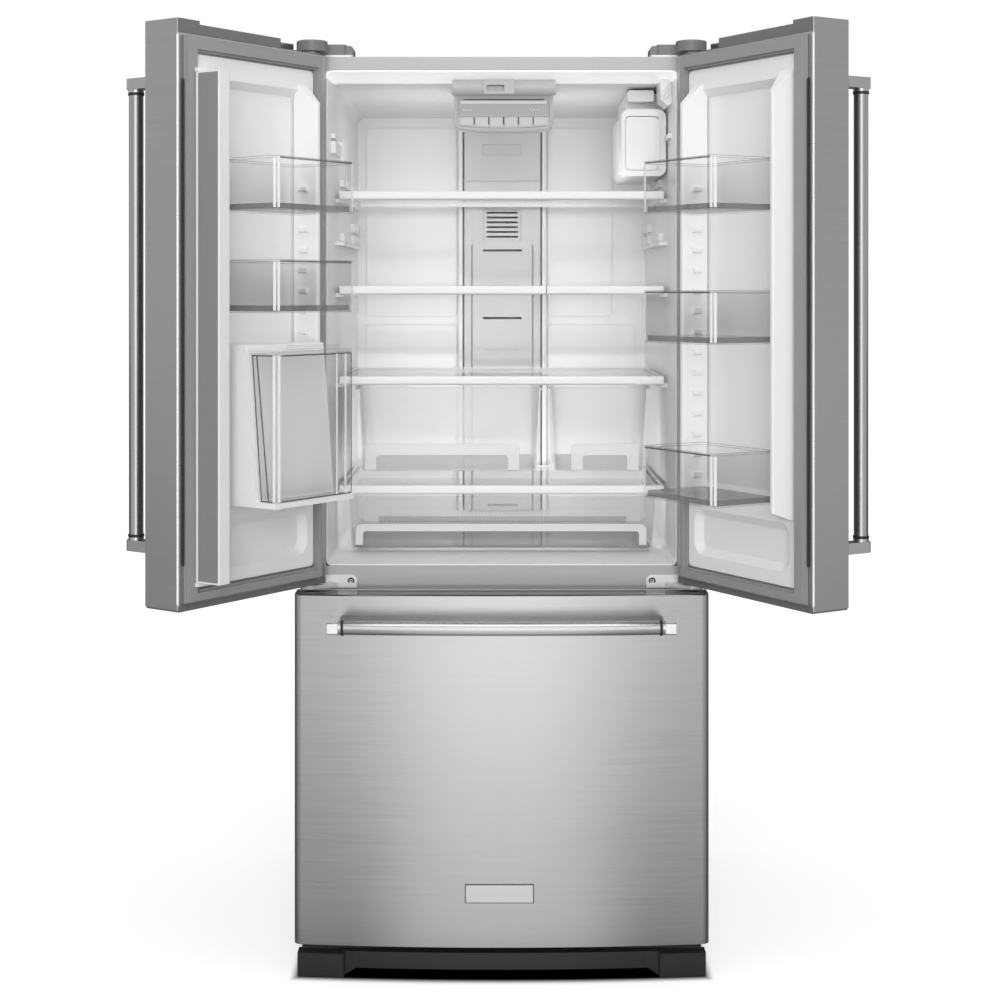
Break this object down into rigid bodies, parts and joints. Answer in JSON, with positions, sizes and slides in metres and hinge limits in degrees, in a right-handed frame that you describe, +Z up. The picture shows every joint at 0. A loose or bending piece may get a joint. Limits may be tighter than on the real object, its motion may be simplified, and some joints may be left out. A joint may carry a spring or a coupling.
{
  "type": "french door refrigerator",
  "caption": "Free-standing stainless french door refrigerator with a bottom freezer drawer, doors open on glass shelves, clear crispers, door bins, a water pitcher and a filter.",
  "frame": {"origin": "middle of the underside of the bounding box, on the floor, with both doors open as at rest", "axes": "+X to the right of a person facing the front, +Y towards the back, +Z up"},
  "size_m": [1.272, 1.019, 1.691],
  "materials": {
    "stainless": "brushed, fine horizontal grain",
    "cabinet_paint": "fine-textured enamel",
    "rail_paint": "satin enamel",
    "liner_white": "satin",
    "door_liner_white": "satin",
    "gasket_grey": "matt",
    "cap_grey": "matt",
    "chrome": "bright",
    "handle_steel": "brushed along the tube",
    "glass": "polished",
    "frame_white": "satin",
    "clear_plastic": "clear",
    "pitcher_clear": "clear",
    "tower_white": "satin",
    "panel_grey": "satin",
    "key_white": "satin",
    "filter_white": "satin",
    "grille_dark": "matt",
    "hinge_dark": "satin",
    "hinge_steel": "zinc plated",
    "galvanised": "spangled",
    "black_paint": "gloss",
    "coil": "satin",
    "slide_zinc": "zinc plated",
    "basket_white": "satin",
    "foam": "rigid polyurethane foam",
    "roller_black": "matt",
    "flap_grey": "satin"
  },
  "bodies": {
    "cabinet": {"cabinet_shell": "cabinet_paint", "mullion_rail": "rail_paint", "fridge_liner": "liner_white", "freezer_liner": "liner_white", "insulation_foam": "foam", "rear_panels": "galvanised", "base_frame": "galvanised", "compressor": "black_paint", "evaporator": "coil", "evaporator_cover": "liner_white", "levelling_feet": "roller_black", "base_grille": "grille_dark", "top_hinges": "hinge_steel", "top_hinge_covers": "hinge_dark", "centre_hinges": "hinge_steel", "air_tower": "tower_white", "control_housing": "tower_white", "control_panel": "panel_grey", "filter_housing": "filter_white", "water_filter": "filter_white", "shelf_frames": "frame_white", "shelf_glass": "glass", "freezer_slides_fixed": "slide_zinc"},
    "rollers": {"rear_rollers": "roller_black"},
    "filter_door": {"filter_cover": "filter_white"},
    "left_crisper": {"crisper_left": "clear_plastic"},
    "right_crisper": {"crisper_right": "clear_plastic"},
    "pantry": {"pantry_drawer": "clear_plastic"},
    "left_door": {"left_door_skin": "stainless", "left_door_caps": "cap_grey", "left_door_liner": "door_liner_white", "left_door_gasket": "gasket_grey", "left_door_bins": "clear_plastic", "left_handle_bar": "handle_steel", "left_handle_mounts": "chrome"},
    "right_door": {"right_door_skin": "stainless", "right_door_caps": "cap_grey", "right_door_liner": "door_liner_white", "right_door_gasket": "gasket_grey", "right_door_bins": "clear_plastic", "right_handle_bar": "handle_steel", "right_handle_mounts": "chrome"},
    "flap": {"mullion_flap": "flap_grey"},
    "jug": {"pitcher": "pitcher_clear"},
    "freezer_drawer": {"freezer_front_skin": "stainless", "freezer_front_caps": "cap_grey", "freezer_front_liner": "liner_white", "freezer_gasket": "gasket_grey", "freezer_handle_bar": "handle_steel", "freezer_handle_mounts": "chrome", "freezer_slides_moving": "slide_zinc", "lower_basket": "basket_white"},
    "slide_middles": {"freezer_slides_middle": "slide_zinc"},
    "upper_tray": {"upper_basket": "basket_white"},
    "button_1": {"control_button_1": "key_white"},
    "button_2": {"control_button_2": "key_white"},
    "button_3": {"control_button_3": "key_white"},
    "button_4": {"control_button_4": "key_white"},
    "button_5": {"control_button_5": "key_white"},
    "button_6": {"control_button_6": "key_white"}
  },
  "joints": [
    {"name": "left_door_swing", "type": "hinge", "parent": "cabinet", "child": "left_door", "pos_m": [-0.3526, -0.193, 1.2], "axis": [0, 0, -1], "range_deg": [-125.3, 4.7]},
    {"name": "right_door_swing", "type": "hinge", "parent": "cabinet", "child": "right_door", "pos_m": [0.3526, -0.193, 1.2], "axis": [0, 0, 1], "range_deg": [-121, 9]},
    {"name": "mullion_flap_turn", "type": "hinge", "parent": "left_door", "child": "flap", "pos_m": [-0.50471, -0.47739, 1.175], "axis": [0, 0, 1], "range_deg": [-90, 0]},
    {"name": "freezer_drawer_slide", "type": "slide", "parent": "cabinet", "child": "freezer_drawer", "axis": [0, -1, 0], "range_m": [0, 0.4]},
    {"name": "slide_middle_travel", "type": "slide", "parent": "cabinet", "child": "slide_middles", "axis": [0, -1, 0], "range_m": [0, 0.2]},
    {"name": "upper_basket_travel", "type": "slide", "parent": "cabinet", "child": "upper_tray", "axis": [0, -1, 0], "range_m": [0, 0.24]},
    {"name": "left_crisper_slide", "type": "slide", "parent": "cabinet", "child": "left_crisper", "axis": [0, -1, 0], "range_m": [0, 0.27]},
    {"name": "right_crisper_slide", "type": "slide", "parent": "cabinet", "child": "right_crisper", "axis": [0, -1, 0], "range_m": [0, 0.27]},
    {"name": "pantry_drawer_slide", "type": "slide", "parent": "cabinet", "child": "pantry", "axis": [0, -1, 0], "range_m": [0, 0.3]},
    {"name": "control_button_1_press", "type": "slide", "parent": "cabinet", "child": "button_1", "axis": [0, 0.9703, 0.2419], "range_m": [0, 0.001], "stiffness_N_per_m": 300, "springref_m": -0.001},
    {"name": "control_button_2_press", "type": "slide", "parent": "cabinet", "child": "button_2", "axis": [0, 0.9703, 0.2419], "range_m": [0, 0.001], "stiffness_N_per_m": 300, "springref_m": -0.001},
    {"name": "control_button_3_press", "type": "slide", "parent": "cabinet", "child": "button_3", "axis": [0, 0.9703, 0.2419], "range_m": [0, 0.001], "stiffness_N_per_m": 300, "springref_m": -0.001},
    {"name": "control_button_4_press", "type": "slide", "parent": "cabinet", "child": "button_4", "axis": [0, 0.9703, 0.2419], "range_m": [0, 0.001], "stiffness_N_per_m": 300, "springref_m": -0.001},
    {"name": "control_button_5_press", "type": "slide", "parent": "cabinet", "child": "button_5", "axis": [0, 0.9703, 0.2419], "range_m": [0, 0.001], "stiffness_N_per_m": 300, "springref_m": -0.001},
    {"name": "control_button_6_press", "type": "slide", "parent": "cabinet", "child": "button_6", "axis": [0, 0.9703, 0.2419], "range_m": [0, 0.001], "stiffness_N_per_m": 300, "springref_m": -0.001},
    {"name": "filter_cover_turn", "type": "hinge", "parent": "cabinet", "child": "filter_door", "pos_m": [0.303, -0.0178, 1.527], "axis": [0, 0, 1], "range_deg": [0, 95]},
    {"name": "pitcher_lift", "type": "slide", "parent": "left_door", "child": "jug", "axis": [0, 0, 1], "range_m": [0, 0.04]},
    {"name": "rear_roller_roll", "type": "hinge", "parent": "cabinet", "child": "rollers", "pos_m": [0, 0.453, 0.024], "axis": [1, 0, 0], "continuous": true}
  ],
  "couplings": [
    {"joint": "slide_middle_travel", "follows": "freezer_drawer_slide", "ratio": 0.5},
    {"joint": "upper_basket_travel", "follows": "freezer_drawer_slide", "ratio": 0.6}
  ]
}
